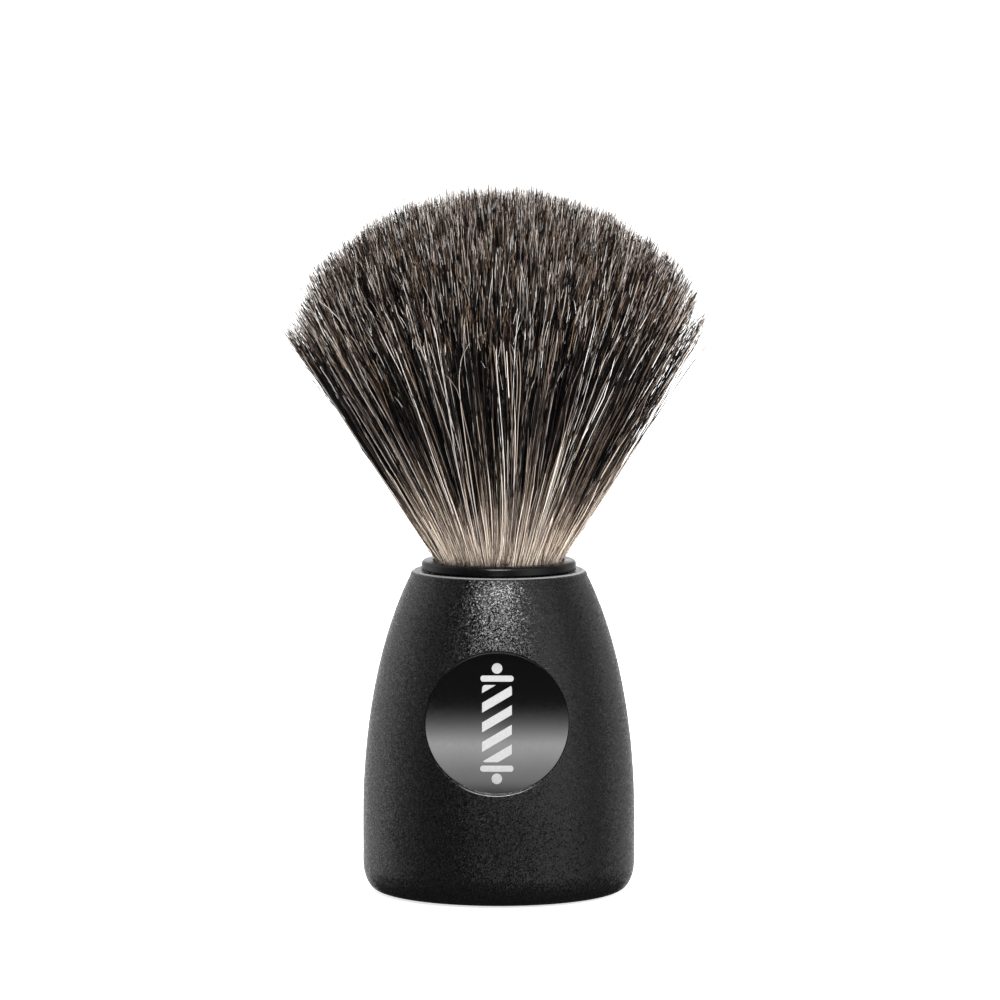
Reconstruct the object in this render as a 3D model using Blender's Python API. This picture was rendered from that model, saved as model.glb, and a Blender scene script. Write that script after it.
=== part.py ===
"""Shaving brush with a weighted, moulded handle, a flanged collar and a fan-shaped hair knot.

Metres, +Z up. The origin is the middle of the foot, on the surface that the brush stands on.
The brush is turned about Z, apart from the badge and its pocket, which face -Y.
"""

import math

import bmesh
import bpy
from mathutils import Matrix, Vector

MM = 0.001

# Driving dimensions, in metres.
CLEARANCE = 0.3 * MM          # between pieces that touch on the real brush

HANDLE_BOTTOM = 0.3 * MM      # the shell stands this far off the surface, on the foot pad
HANDLE_TOP = 48.4 * MM        # flat rim that the collar's flange sits on
HANDLE_RADIUS = 20.4 * MM     # widest radius, from the foot's round up to the belly height
BELLY_HEIGHT = 11.4 * MM      # above this the side is a quarter of an ellipse
OGIVE_HEIGHT = 47.6 * MM      # the ellipse's upright half axis
FOOT_ROUND_WIDTH = 2.2 * MM   # the foot's round is a quarter of an ellipse, taller than wide
FOOT_ROUND_HEIGHT = 4.2 * MM
RIM_ROUND = 0.9 * MM          # round between the side and the rim

SOCKET_RADIUS = 10.9 * MM
SOCKET_DEPTH = 13.3 * MM
CORE_RADIUS = 10.4 * MM       # upper part of the hollow, behind the badge pocket
CORE_TOP = 30.0 * MM
BALLAST_BORE_RADIUS = 13.5 * MM
BALLAST_BORE_TOP = 14.0 * MM
CAP_SEAT_RADIUS = 16.0 * MM
CAP_SEAT_TOP = 3.0 * MM

COLLAR_FLANGE_RADIUS = 11.6 * MM
COLLAR_SHOULDER_ROUND = 0.5 * MM
COLLAR_SHOULDER_RISE = 0.18 * MM  # from the end of the shoulder's round up to the lip
COLLAR_EDGE_CHAMFER = 0.15 * MM
COLLAR_LIP_RADIUS = 9.85 * MM
COLLAR_LIP_WIDTH = 0.3 * MM
COLLAR_LIP_HEIGHT = 1.55 * MM     # lip above the handle's rim
COLLAR_THROAT_DEPTH = 3.0 * MM    # the throat narrows to the cup's bore over this depth
CUP_OUTER_RADIUS = 10.0 * MM
CUP_INNER_RADIUS = 9.2 * MM
CUP_FLOOR = 1.0 * MM
GLUE_THICKNESS = 0.3 * MM
COLLAR_GLUE_SETBACK = 2.0 * MM    # the glue ends this far below the handle's rim

KNOT_NECK_RADIUS = 7.7 * MM
KNOT_MOUTH_RADIUS = 9.45 * MM
KNOT_MOUTH_FLARE = 1.1 * MM       # the hair leaves the collar steeply: this far out
KNOT_MOUTH_RISE = 2.4 * MM        # over this height
KNOT_BLOOM_RADIUS = 31.0 * MM
KNOT_BLOOM_HEIGHT = 84.0 * MM     # the widest place of the fan
KNOT_BLOOM_ROUND = 1.4 * MM       # softens the corner between flare and dome
KNOT_TOP = 105.0 * MM
KNOT_ROOT = 41.3 * MM
KNOT_NECK_MARGIN = 1.2 * MM       # bare neck beyond the thread
THREAD_START = 0.8 * MM           # the thread begins this far above the roots
THREAD_TURNS = 5
THREAD_PITCH = 0.8 * MM
THREAD_DIAMETER = 0.7 * MM

BADGE_RADIUS = 10.65 * MM
BADGE_THICKNESS = 1.3 * MM
BADGE_EDGE_ROUND = 0.25 * MM
BADGE_CROWN = 0.3 * MM        # how far the middle of the face stands proud of its edge
BADGE_HEIGHT = 27.2 * MM      # the middle of the badge
BADGE_TILT = math.radians(7.5)
BADGE_PAD_THICKNESS = 0.5 * MM
BADGE_PAD_SETBACK = 1.0 * MM  # the pad is this much smaller in radius than the badge

BALLAST_BOTTOM = 4.2 * MM
BALLAST_CHAMFER = 0.6 * MM
CAP_RING_WIDTH = 1.2 * MM
CAP_RING_HEIGHT = 1.1 * MM

FOOT_PAD_RADIUS = 14.0 * MM
FOOT_PAD_THICKNESS = 1.0 * MM
FOOT_PAD_CHAMFER = 0.25 * MM

MAIN_SEGMENTS = 60
INNER_SEGMENTS = 36
HAIR_SEGMENTS = 48
SHARP_ANGLE = math.radians(35.0)


def clear_scene():
    """Removes whatever the file opened with."""
    for old in list(bpy.data.objects):
        bpy.data.objects.remove(old, do_unlink=True)


def material(name, colour, roughness, metallic=0.0):
    """A Principled material of one colour."""
    made = bpy.data.materials.new(name)
    made.use_nodes = True
    shader = made.node_tree.nodes["Principled BSDF"]
    shader.inputs["Base Color"].default_value = (*colour, 1.0)
    shader.inputs["Roughness"].default_value = roughness
    shader.inputs["Metallic"].default_value = metallic
    return made


def arc(centre, radius, start, end, steps):
    """Points (r, z) of an arc in the profile plane, with its angles in degrees from +r."""
    points = []
    for step in range(steps + 1):
        angle = math.radians(start + (end - start) * step / steps)
        points.append((centre[0] + radius * math.cos(angle), centre[1] + radius * math.sin(angle)))
    return points


def turned(name, profile, segments, look):
    """A solid turned about Z from a closed profile of (r, z) points. Points on the axis become poles."""
    bm = bmesh.new()
    verts = [bm.verts.new((r, 0.0, z)) for r, z in profile]
    edges = []
    for index, vert in enumerate(verts):
        following = verts[(index + 1) % len(verts)]
        on_axis = abs(vert.co.x) < 1e-7 and abs(following.co.x) < 1e-7
        if not on_axis:
            edges.append(bm.edges.new((vert, following)))
    bmesh.ops.spin(
        bm,
        geom=verts + edges,
        axis=(0.0, 0.0, 1.0),
        cent=(0.0, 0.0, 0.0),
        angle=2.0 * math.pi,
        steps=segments,
        use_merge=True,
    )
    bmesh.ops.remove_doubles(bm, verts=bm.verts[:], dist=1e-6)
    bmesh.ops.recalc_face_normals(bm, faces=bm.faces[:])
    return finished(name, bm, look)


def finished(name, bm, look):
    """Turns a bmesh into a named object, shaded smooth with its hard edges kept."""
    mesh = bpy.data.meshes.new(name)
    bm.to_mesh(mesh)
    bm.free()
    mesh.shade_smooth()
    mesh.set_sharp_from_angle(angle=SHARP_ANGLE)
    mesh.materials.append(look)
    made = bpy.data.objects.new(name, mesh)
    bpy.context.scene.collection.objects.link(made)
    return made


def handle_radius(height):
    """The handle's outer radius at a height, without the rounds at its two ends."""
    if height <= BELLY_HEIGHT:
        return HANDLE_RADIUS
    share = (height - BELLY_HEIGHT) / OGIVE_HEIGHT
    return HANDLE_RADIUS * math.sqrt(1.0 - share * share)


def badge_frame():
    """The badge's own frame: +Z out of its face, +Y up its face, its XY plane level with the handle's side."""
    surface = handle_radius(BADGE_HEIGHT)
    depth = math.sqrt(surface**2 - BADGE_RADIUS**2)
    outward = Vector((0.0, -math.cos(BADGE_TILT), math.sin(BADGE_TILT)))
    upward = Vector((0.0, math.sin(BADGE_TILT), math.cos(BADGE_TILT)))
    sideways = upward.cross(outward)
    turn = Matrix((sideways, upward, outward)).transposed().to_4x4()
    return Matrix.Translation((0.0, -depth, BADGE_HEIGHT)) @ turn


def handle_profile():
    """Outer side from the foot to the rim, then the socket, then the hollow from the deck down."""
    foot_steps = 6
    points = []
    for step in range(foot_steps + 1):
        angle = 0.5 * math.pi * step / foot_steps
        radius = HANDLE_RADIUS - FOOT_ROUND_WIDTH * (1.0 - math.sin(angle))
        points.append((radius, HANDLE_BOTTOM + FOOT_ROUND_HEIGHT * (1.0 - math.cos(angle))))
    side_bottom = BELLY_HEIGHT
    side_top = HANDLE_TOP - RIM_ROUND
    side_steps = 11
    for step in range(side_steps + 1):
        height = side_bottom + (side_top - side_bottom) * step / side_steps
        points.append((handle_radius(height), height))
    rim_centre = (handle_radius(side_top) - RIM_ROUND, side_top)
    points += arc(rim_centre, RIM_ROUND, 30.0, 90.0, 3)
    points += [
        (SOCKET_RADIUS, HANDLE_TOP),
        (SOCKET_RADIUS, HANDLE_TOP - SOCKET_DEPTH),
        (0.0, HANDLE_TOP - SOCKET_DEPTH),
        (0.0, CORE_TOP),
        (CORE_RADIUS, CORE_TOP),
        (CORE_RADIUS, BALLAST_BORE_TOP),
        (BALLAST_BORE_RADIUS, BALLAST_BORE_TOP),
        (BALLAST_BORE_RADIUS, CAP_SEAT_TOP),
        (CAP_SEAT_RADIUS, CAP_SEAT_TOP),
        (CAP_SEAT_RADIUS, HANDLE_BOTTOM),
    ]
    return points


def badge_stack_depth():
    """How far the pocket's floor lies behind the XY plane of the badge's frame."""
    return BADGE_THICKNESS + BADGE_PAD_THICKNESS + 2.0 * CLEARANCE


def pocket_cutter():
    """The round cutter that sinks the badge pocket into the handle's front."""
    reach = 12.0 * MM
    depth = badge_stack_depth()
    bm = bmesh.new()
    bmesh.ops.create_cone(
        bm,
        cap_ends=True,
        segments=MAIN_SEGMENTS,
        radius1=BADGE_RADIUS + CLEARANCE,
        radius2=BADGE_RADIUS + CLEARANCE,
        depth=depth + reach,
        matrix=Matrix.Translation((0.0, 0.0, (reach - depth) / 2.0)),
    )
    mesh = bpy.data.meshes.new("pocket_cutter")
    bm.to_mesh(mesh)
    bm.free()
    cutter = bpy.data.objects.new("pocket_cutter", mesh)
    cutter.matrix_world = badge_frame()
    cutter.hide_render = True
    cutter.display_type = "WIRE"
    bpy.context.scene.collection.objects.link(cutter)
    return cutter


def handle_shell():
    """The hollow moulded handle with its badge pocket."""
    look = material("matte_black_plastic", (0.015, 0.015, 0.016), 0.55)
    shell = turned("handle_shell", handle_profile(), MAIN_SEGMENTS, look)
    cut = shell.modifiers.new("badge_pocket", "BOOLEAN")
    cut.operation = "DIFFERENCE"
    cut.solver = "EXACT"
    cut.object = pocket_cutter()
    return shell


def cup_floor_height():
    """The upper face of the cup's floor."""
    return HANDLE_TOP - SOCKET_DEPTH + 2.0 * CLEARANCE + GLUE_THICKNESS + CUP_FLOOR


def knot_collar():
    """The flanged cup: flange over the rim, lip round the hair, and the skirt down in the socket."""
    flange_under = HANDLE_TOP + CLEARANCE
    lip_top = HANDLE_TOP + COLLAR_LIP_HEIGHT
    cup_bottom = cup_floor_height() - CUP_FLOOR
    round_centre = (
        COLLAR_FLANGE_RADIUS - COLLAR_SHOULDER_ROUND,
        lip_top - COLLAR_SHOULDER_RISE - COLLAR_SHOULDER_ROUND,
    )
    profile = [
        (0.0, cup_bottom),
        (CUP_OUTER_RADIUS, cup_bottom),
        (CUP_OUTER_RADIUS, flange_under),
        (COLLAR_FLANGE_RADIUS - COLLAR_EDGE_CHAMFER, flange_under),
        (COLLAR_FLANGE_RADIUS, flange_under + COLLAR_EDGE_CHAMFER),
    ]
    profile += arc(round_centre, COLLAR_SHOULDER_ROUND, 0.0, 80.0, 4)
    profile += [
        (COLLAR_LIP_RADIUS + COLLAR_LIP_WIDTH, lip_top),
        (COLLAR_LIP_RADIUS + COLLAR_LIP_WIDTH / 2.0, lip_top),
        (COLLAR_LIP_RADIUS, lip_top - COLLAR_LIP_WIDTH / 2.0),
        (CUP_INNER_RADIUS, lip_top - COLLAR_THROAT_DEPTH),
        (CUP_INNER_RADIUS, cup_floor_height()),
        (0.0, cup_floor_height()),
    ]
    look = material("gloss_black_plastic", (0.01, 0.01, 0.01), 0.12)
    return turned("knot_collar", profile, MAIN_SEGMENTS, look)


def collar_adhesive():
    """The glue layer under and round the cup: a thin cup of its own."""
    floor = HANDLE_TOP - SOCKET_DEPTH + CLEARANCE
    inner = CUP_OUTER_RADIUS + CLEARANCE
    outer = inner + GLUE_THICKNESS
    top = HANDLE_TOP - COLLAR_GLUE_SETBACK
    profile = [
        (0.0, floor),
        (outer, floor),
        (outer, top),
        (inner, top),
        (inner, floor + GLUE_THICKNESS),
        (0.0, floor + GLUE_THICKNESS),
    ]
    look = material("clear_epoxy", (0.6, 0.5, 0.3), 0.3)
    return turned("collar_adhesive", profile, INNER_SEGMENTS, look)


def knot_resin_plug():
    """Cast resin between the cup's floor and the roots of the hair."""
    radius = CUP_INNER_RADIUS - CLEARANCE
    bottom = cup_floor_height() + CLEARANCE
    top = KNOT_ROOT - CLEARANCE
    edge = 0.5 * MM
    profile = [(0.0, bottom), (radius - edge, bottom), (radius, bottom + edge), (radius, top), (0.0, top)]
    look = material("amber_resin", (0.42, 0.24, 0.08), 0.25)
    return turned("knot_resin_plug", profile, INNER_SEGMENTS, look)


def knot_binding_thread():
    """Thread wound round the neck, as turns that touch: a ring with one bead for each turn."""
    inner = KNOT_NECK_RADIUS + CLEARANCE
    bead = THREAD_DIAMETER / 2.0
    first = KNOT_ROOT + THREAD_START
    profile = [(inner, first)]
    for turn in range(THREAD_TURNS):
        middle = first + THREAD_PITCH * (turn + 0.5)
        profile += arc((inner + bead, middle), bead, -60.0, 60.0, 3)
    profile.append((inner, first + THREAD_PITCH * THREAD_TURNS))
    look = material("linen_thread", (0.75, 0.7, 0.6), 0.8)
    return turned("knot_binding_thread", profile, INNER_SEGMENTS, look)


def hair_knot():
    """The hair as one plain solid: bound neck, mouth of the collar, straight flare and domed top."""
    neck_top = KNOT_ROOT + KNOT_NECK_MARGIN + THREAD_PITCH * THREAD_TURNS
    mouth = HANDLE_TOP + COLLAR_LIP_HEIGHT
    profile = [
        (0.0, KNOT_ROOT),
        (KNOT_NECK_RADIUS, KNOT_ROOT),
        (KNOT_NECK_RADIUS, neck_top),
        (KNOT_MOUTH_RADIUS, mouth),
        (KNOT_MOUTH_RADIUS + KNOT_MOUTH_FLARE, mouth + KNOT_MOUTH_RISE),
        (KNOT_BLOOM_RADIUS - KNOT_BLOOM_ROUND, KNOT_BLOOM_HEIGHT - KNOT_BLOOM_ROUND),
    ]
    dome_steps = 9
    dome_height = KNOT_TOP - KNOT_BLOOM_HEIGHT
    for step in range(dome_steps + 1):
        angle = 0.5 * math.pi * step / dome_steps
        radius = KNOT_BLOOM_RADIUS * math.cos(angle)
        profile.append((max(radius, 0.0), KNOT_BLOOM_HEIGHT + dome_height * math.sin(angle)))
    profile[-1] = (0.0, KNOT_TOP)
    look = material("badger_hair", (0.35, 0.3, 0.25), 0.7)
    return turned("hair_knot", profile, HAIR_SEGMENTS, look)


def badge_disc():
    """The crowned disc with a rounded rim. The middle of its face is the origin of the badge's frame."""
    face_radius = BADGE_RADIUS - BADGE_EDGE_ROUND
    crown_radius = (face_radius**2 + BADGE_CROWN**2) / (2.0 * BADGE_CROWN)
    round_centre = (face_radius, -BADGE_CROWN - BADGE_EDGE_ROUND)
    profile = [(0.0, -BADGE_THICKNESS), (BADGE_RADIUS, -BADGE_THICKNESS)]
    profile += arc(round_centre, BADGE_EDGE_ROUND, 0.0, 90.0, 4)
    rings = 3
    for ring in range(rings - 1, -1, -1):
        radius = face_radius * ring / rings
        profile.append((radius, math.sqrt(crown_radius**2 - radius**2) - crown_radius))
    look = material("polished_dark_metal", (0.28, 0.28, 0.29), 0.08, 1.0)
    disc = turned("badge_disc", profile, MAIN_SEGMENTS, look)
    disc.matrix_world = badge_frame()
    return disc


def badge_adhesive_pad():
    """The double-sided pad between the badge and the pocket's floor."""
    radius = BADGE_RADIUS - BADGE_PAD_SETBACK
    top = -BADGE_THICKNESS - CLEARANCE
    bottom = top - BADGE_PAD_THICKNESS
    profile = [(0.0, bottom), (radius, bottom), (radius, top), (0.0, top)]
    look = material("adhesive_foam", (0.7, 0.7, 0.68), 0.9)
    pad = turned("badge_adhesive_pad", profile, INNER_SEGMENTS, look)
    pad.matrix_world = badge_frame()
    return pad


def ballast_adhesive():
    """The glue ring between the slug and the step at the top of its bore."""
    top = BALLAST_BORE_TOP - CLEARANCE
    bottom = top - GLUE_THICKNESS
    outer = BALLAST_BORE_RADIUS - CLEARANCE
    inner = CORE_RADIUS + CLEARANCE
    profile = [(inner, bottom), (outer, bottom), (outer, top), (inner, top)]
    look = material("white_glue", (0.8, 0.78, 0.7), 0.5)
    return turned("ballast_adhesive", profile, INNER_SEGMENTS, look)


def ballast_slug():
    """The steel slug with chamfered edges."""
    radius = BALLAST_BORE_RADIUS - CLEARANCE
    top = BALLAST_BORE_TOP - 2.0 * CLEARANCE - GLUE_THICKNESS
    profile = [
        (0.0, BALLAST_BOTTOM),
        (radius - BALLAST_CHAMFER, BALLAST_BOTTOM),
        (radius, BALLAST_BOTTOM + BALLAST_CHAMFER),
        (radius, top - BALLAST_CHAMFER),
        (radius - BALLAST_CHAMFER, top),
        (0.0, top),
    ]
    look = material("plain_steel", (0.5, 0.5, 0.5), 0.35, 1.0)
    return turned("ballast_slug", profile, INNER_SEGMENTS, look)


def base_cap():
    """The cap: a plate in the seat, a locating ring in the bore, and a recess below for the foot pad."""
    plate_radius = CAP_SEAT_RADIUS - CLEARANCE
    plate_top = CAP_SEAT_TOP - CLEARANCE
    ring_outer = BALLAST_BORE_RADIUS - CLEARANCE
    ring_inner = ring_outer - CAP_RING_WIDTH
    ring_top = plate_top + CAP_RING_HEIGHT
    recess_radius = FOOT_PAD_RADIUS + CLEARANCE
    recess_top = FOOT_PAD_THICKNESS + CLEARANCE
    profile = [
        (0.0, recess_top),
        (recess_radius, recess_top),
        (recess_radius, HANDLE_BOTTOM),
        (plate_radius, HANDLE_BOTTOM),
        (plate_radius, plate_top),
        (ring_outer, plate_top),
        (ring_outer, ring_top),
        (ring_inner, ring_top),
        (ring_inner, plate_top),
        (0.0, plate_top),
    ]
    look = material("base_plastic", (0.02, 0.02, 0.02), 0.5)
    return turned("base_cap", profile, INNER_SEGMENTS, look)


def foot_pad():
    """The thin pad that the brush stands on."""
    profile = [
        (0.0, 0.0),
        (FOOT_PAD_RADIUS - FOOT_PAD_CHAMFER, 0.0),
        (FOOT_PAD_RADIUS, FOOT_PAD_CHAMFER),
        (FOOT_PAD_RADIUS, FOOT_PAD_THICKNESS),
        (0.0, FOOT_PAD_THICKNESS),
    ]
    look = material("foam_rubber", (0.03, 0.03, 0.03), 0.9)
    return turned("foot_pad", profile, INNER_SEGMENTS, look)


def main():
    """Builds every piece of the brush."""
    clear_scene()
    handle_shell()
    knot_collar()
    collar_adhesive()
    knot_resin_plug()
    knot_binding_thread()
    hair_knot()
    badge_disc()
    badge_adhesive_pad()
    ballast_adhesive()
    ballast_slug()
    base_cap()
    foot_pad()


main()
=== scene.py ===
"""Looks for the shaving brush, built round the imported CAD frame. Metres, in the frame's own axes."""

import math

import bmesh
import bpy
import numpy as np
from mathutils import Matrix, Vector


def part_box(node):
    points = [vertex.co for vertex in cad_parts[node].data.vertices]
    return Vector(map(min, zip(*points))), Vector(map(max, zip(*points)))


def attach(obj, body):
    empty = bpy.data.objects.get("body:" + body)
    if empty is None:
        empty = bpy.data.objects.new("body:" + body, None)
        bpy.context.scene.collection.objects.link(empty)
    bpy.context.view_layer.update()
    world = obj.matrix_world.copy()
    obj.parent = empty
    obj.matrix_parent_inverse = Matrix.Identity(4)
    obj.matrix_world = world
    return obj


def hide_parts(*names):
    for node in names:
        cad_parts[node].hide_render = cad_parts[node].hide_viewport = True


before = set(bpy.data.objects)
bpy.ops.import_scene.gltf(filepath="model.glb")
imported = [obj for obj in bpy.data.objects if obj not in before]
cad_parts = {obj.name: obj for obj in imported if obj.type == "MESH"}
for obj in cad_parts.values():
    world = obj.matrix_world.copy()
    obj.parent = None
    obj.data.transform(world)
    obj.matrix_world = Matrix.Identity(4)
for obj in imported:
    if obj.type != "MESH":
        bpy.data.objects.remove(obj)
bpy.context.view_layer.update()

MM = 0.001
SEED = 20

# Places read from the frame.
HANDLE_LOW, HANDLE_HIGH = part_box("handle_shell")
COLLAR_LOW, COLLAR_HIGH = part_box("knot_collar")
KNOT_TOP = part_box("hair_knot")[1][2]
HANDLE_RADIUS, HANDLE_TOP = HANDLE_HIGH[0], HANDLE_HIGH[2]
HANDLE_BOTTOM = HANDLE_LOW[2]
COLLAR_RADIUS, LIP_TOP = COLLAR_HIGH[0], COLLAR_HIGH[2]
CUP_BOTTOM = COLLAR_LOW[2]

# The handle's section, with the same rules as the CAD shell.
BELLY_HEIGHT = 11.4 * MM
OGIVE_HEIGHT = 47.6 * MM
FOOT_ROUND_WIDTH = 2.2 * MM
FOOT_ROUND_HEIGHT = 4.2 * MM
RIM_ROUND = 0.9 * MM
SOCKET_RADIUS = 10.9 * MM
SOCKET_FLOOR = HANDLE_TOP - 13.3 * MM
# Its hollow, from the roof of the core down to the cap's seat: radius and height, in millimetres.
HOLLOW = ((0.0, 30.0), (10.4, 30.0), (10.4, 14.0), (13.5, 14.0), (13.5, 3.0), (16.0, 3.0))

# The handle's eroded grain: grains to the metre, how far they tilt, and the roughness of the two kinds.
GRAIN_SCALE = 7200.0
GRAIN_TILT = 0.38
GRAIN_POLISHED, GRAIN_DULL = 0.14, 0.38
# Painted highlights on its edges, a paler base colour where light catches the rim's rounded top and the
# pocket's lower lip: how far below the rim's top, or how high on the pocket's lip, and how much.
RIM_PAINTED_HIGHLIGHT = ((0.24 * MM, 0.0), (0.12 * MM, 0.6), (0.03 * MM, 0.6), (0.005 * MM, 0.0))
LIP_PAINTED_HIGHLIGHT = ((17.0 * MM, 1.0), (18.6 * MM, 0.0))

# The badge's own frame: its face looks out along BADGE_OUT, and BADGE_UP runs up the face.
BADGE_RADIUS = 10.65 * MM
BADGE_HEIGHT = 27.2 * MM
BADGE_TILT = math.radians(7.5)
BADGE_CROWN = 0.3 * MM
BADGE_EDGE = 0.12 * MM
BADGE_LIFT = 0.15 * MM
BADGE_THICKNESS = 1.3 * MM
POCKET_RADIUS = BADGE_RADIUS + 0.03 * MM
POCKET_DEPTH = 2.4 * MM
POCKET_EDGE = 0.06 * MM
POCKET_WINDOW = 14.0 * MM
BADGE_OUT = Vector((0.0, -math.cos(BADGE_TILT), math.sin(BADGE_TILT)))
BADGE_UP = Vector((0.0, math.sin(BADGE_TILT), math.cos(BADGE_TILT)))

# Hair: its strands, the small tufts that their tips gather in, and the locks that bow and fade together.
STRANDS = 17000
STRAND_SIDES = 3
STRAND_RADIUS = 0.061 * MM
TUFTS = 1600
LOCKS = 170
HAIR_PIECES = 10
# Where a strand's rings lie from the mouth to the tip, and how thick it is along the way.
RING_PLACES = np.array([
    0.0, 0.05, 0.11, 0.18, 0.26, 0.35, 0.45, 0.55, 0.65, 0.74, 0.82, 0.88, 0.925, 0.96, 0.983, 1.0
])
TAPER_PLACES, TAPER = (0.0, 0.15, 0.5, 0.93, 1.0), (0.85, 0.85, 1.0, 0.8, 0.45)

# The fan that the strands make. It leans a little towards -X.
ROOT_RADIUS = 8.6 * MM
ROOT_HEIGHT = LIP_TOP - 3.0 * MM
MOUTH_RADIUS = 9.5 * MM
MOUTH_HEIGHT = LIP_TOP - 0.1 * MM
FAN_REACH = 32.0 * MM
FAN_LEAN = 0.6 * MM
# The dome of its tips: a ball that drops away past its shoulder, down to a lowest height.
DOME_RADIUS = 37.6 * MM
DOME_MIDDLE = KNOT_TOP - 36.6 * MM
DOME_SHOULDER = 27.5 * MM
DOME_EDGE = 34.0 * MM
DOME_DROP = 0.18 * MM
DOME_LOWEST = 84.6 * MM

# Tones of a hair, from its pale root to its black band and its grizzled tip.
HAIR_TONES = {
    "cream": (0.80, 0.70, 0.60),
    "tan": (0.46, 0.37, 0.29),
    "light_brown": (0.20, 0.152, 0.120),
    "brown": (0.075, 0.055, 0.045),
    "dark_brown": (0.018, 0.0140, 0.0135),
    "umber": (0.017, 0.0095, 0.0065),
    "black": (0.0037, 0.0036, 0.0043),
    "tawny": (0.27, 0.17, 0.10),
    "grizzle": (0.16, 0.115, 0.085),
    "taupe": (0.30, 0.225, 0.18),
    "ash": (0.54, 0.48, 0.44),
    "silver": (0.88, 0.83, 0.79),
}
# How often each tone is drawn: for roots, bands, tips, their very ends, and hairs pale all the way.
ROOT_ODDS = {"cream": 0.56, "tan": 0.30, "light_brown": 0.14}
BAND_ODDS = {"black": 0.68, "dark_brown": 0.21, "brown": 0.07, "grizzle": 0.04}
TIP_ODDS = {"black": 0.30, "umber": 0.28, "brown": 0.11, "tawny": 0.06,
            "grizzle": 0.06, "taupe": 0.07, "ash": 0.07, "silver": 0.05}
END_ODDS = {"black": 0.31, "umber": 0.29, "brown": 0.10, "tawny": 0.05,
            "grizzle": 0.06, "taupe": 0.07, "ash": 0.07, "silver": 0.05}
PALE_ODDS = {"ash": 0.35, "silver": 0.4, "taupe": 0.25}
# How far past the root's end each tone of the fade lasts.
FADE_STEPS = ((3.0 * MM, "tan"), (6.0 * MM, "light_brown"), (9.0 * MM, "brown"))

# Camera and studio.
CAMERA_PLACE = (0.0172, -1.000, 0.1590)
CAMERA_TARGET = (0.00018, 0.0, 0.05880)
CAMERA_LENS = 241.8
SENSOR_WIDTH = 36.0
LIGHT_TARGET = (0.0, 0.0, 0.05)
FRONT_PLACE, FRONT_SIZE = (0.0, -0.92, 0.81), (0.54, 0.42)
SIDE_SIZE = (0.5, 0.8)
FLOOR_REACH = 3.0
RING_DISTANCE, RING_LOW, RING_HIGH = 1.35, -0.42, 2.4
WHITE = (1.0, 1.0, 1.0)
# How strongly the ring of light glows at each compass angle, measured from straight in front towards +X.
RING_GLOW = (
    (-180.0, 1.3), (-163.0, 1.0), (-152.0, 0.6), (-138.0, 0.65), (-122.0, 0.9), (-106.0, 0.75),
    (-94.0, 0.42), (-82.0, 0.32), (-70.0, 0.18), (-58.0, 0.07), (-45.0, 0.01), (-30.0, 0.01),
    (-10.0, 0.05), (10.0, 0.07), (24.0, 0.17), (36.0, 0.72), (48.0, 1.2), (58.0, 1.05), (70.0, 0.55),
    (84.0, 0.22), (96.0, 0.2), (108.0, 0.32), (124.0, 0.6), (140.0, 0.5), (152.0, 0.45), (163.0, 0.8),
    (180.0, 1.3),
)
# How strongly the card in front of the badge glows at each height, in metres.
BADGE_GLOW = (
    (0.0, 0.05), (0.022, 0.05), (0.045, 0.5), (0.065, 0.56), (0.116, 1.1), (0.134, 0.6),
    (0.158, 0.2), (0.184, 0.015), (0.45, 0.015),
)


# ---------------------------------------------------------------- materials

def new_material(name, colour, roughness, metallic=0.0, specular=0.5):
    """A Principled material whose even values sit on the shader's own sockets."""
    made = bpy.data.materials.new(name)
    made.use_nodes = True
    shader = made.node_tree.nodes["Principled BSDF"]
    shader.inputs["Base Color"].default_value = (*colour, 1.0)
    shader.inputs["Roughness"].default_value = roughness
    shader.inputs["Metallic"].default_value = metallic
    shader.inputs["Specular IOR Level"].default_value = specular
    return made


def scaled(colour, factor):
    """A colour made lighter or darker."""
    return tuple(value * factor for value in colour)


def noise(made, scale, detail=2.0, roughness=0.5, stretch=None):
    """A noise texture in the object's own metres. stretch scales its axes before the noise."""
    nodes, links = made.node_tree.nodes, made.node_tree.links
    place = nodes.new("ShaderNodeTexCoord")
    texture = nodes.new("ShaderNodeTexNoise")
    texture.inputs["Scale"].default_value = scale
    texture.inputs["Detail"].default_value = detail
    texture.inputs["Roughness"].default_value = roughness
    if stretch is None:
        links.new(place.outputs["Object"], texture.inputs["Vector"])
    else:
        mapping = nodes.new("ShaderNodeMapping")
        mapping.inputs["Scale"].default_value = stretch
        links.new(place.outputs["Object"], mapping.inputs["Vector"])
        links.new(mapping.outputs["Vector"], texture.inputs["Vector"])
    return texture.outputs["Fac"]


def ramp(made, factor, stops):
    """A colour ramp over a factor. stops are (position, colour) or (position, value)."""
    node = made.node_tree.nodes.new("ShaderNodeValToRGB")
    made.node_tree.links.new(factor, node.inputs["Fac"])
    band = node.color_ramp
    while len(band.elements) < len(stops):
        band.elements.new(0.5)
    for element, (position, value) in zip(band.elements, stops):
        element.position = position
        colour = value if isinstance(value, tuple) else (value, value, value)
        element.color = (*colour, 1.0)
    return node.outputs["Color"]


def height_share(made, low, high):
    """How far up a point lies between two heights, from 0 to 1."""
    nodes, links = made.node_tree.nodes, made.node_tree.links
    place = nodes.new("ShaderNodeTexCoord")
    axes = nodes.new("ShaderNodeSeparateXYZ")
    links.new(place.outputs["Object"], axes.inputs["Vector"])
    height = nodes.new("ShaderNodeMapRange")
    height.inputs["From Min"].default_value = low
    height.inputs["From Max"].default_value = high
    links.new(axes.outputs["Z"], height.inputs["Value"])
    return height.outputs["Result"]


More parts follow.
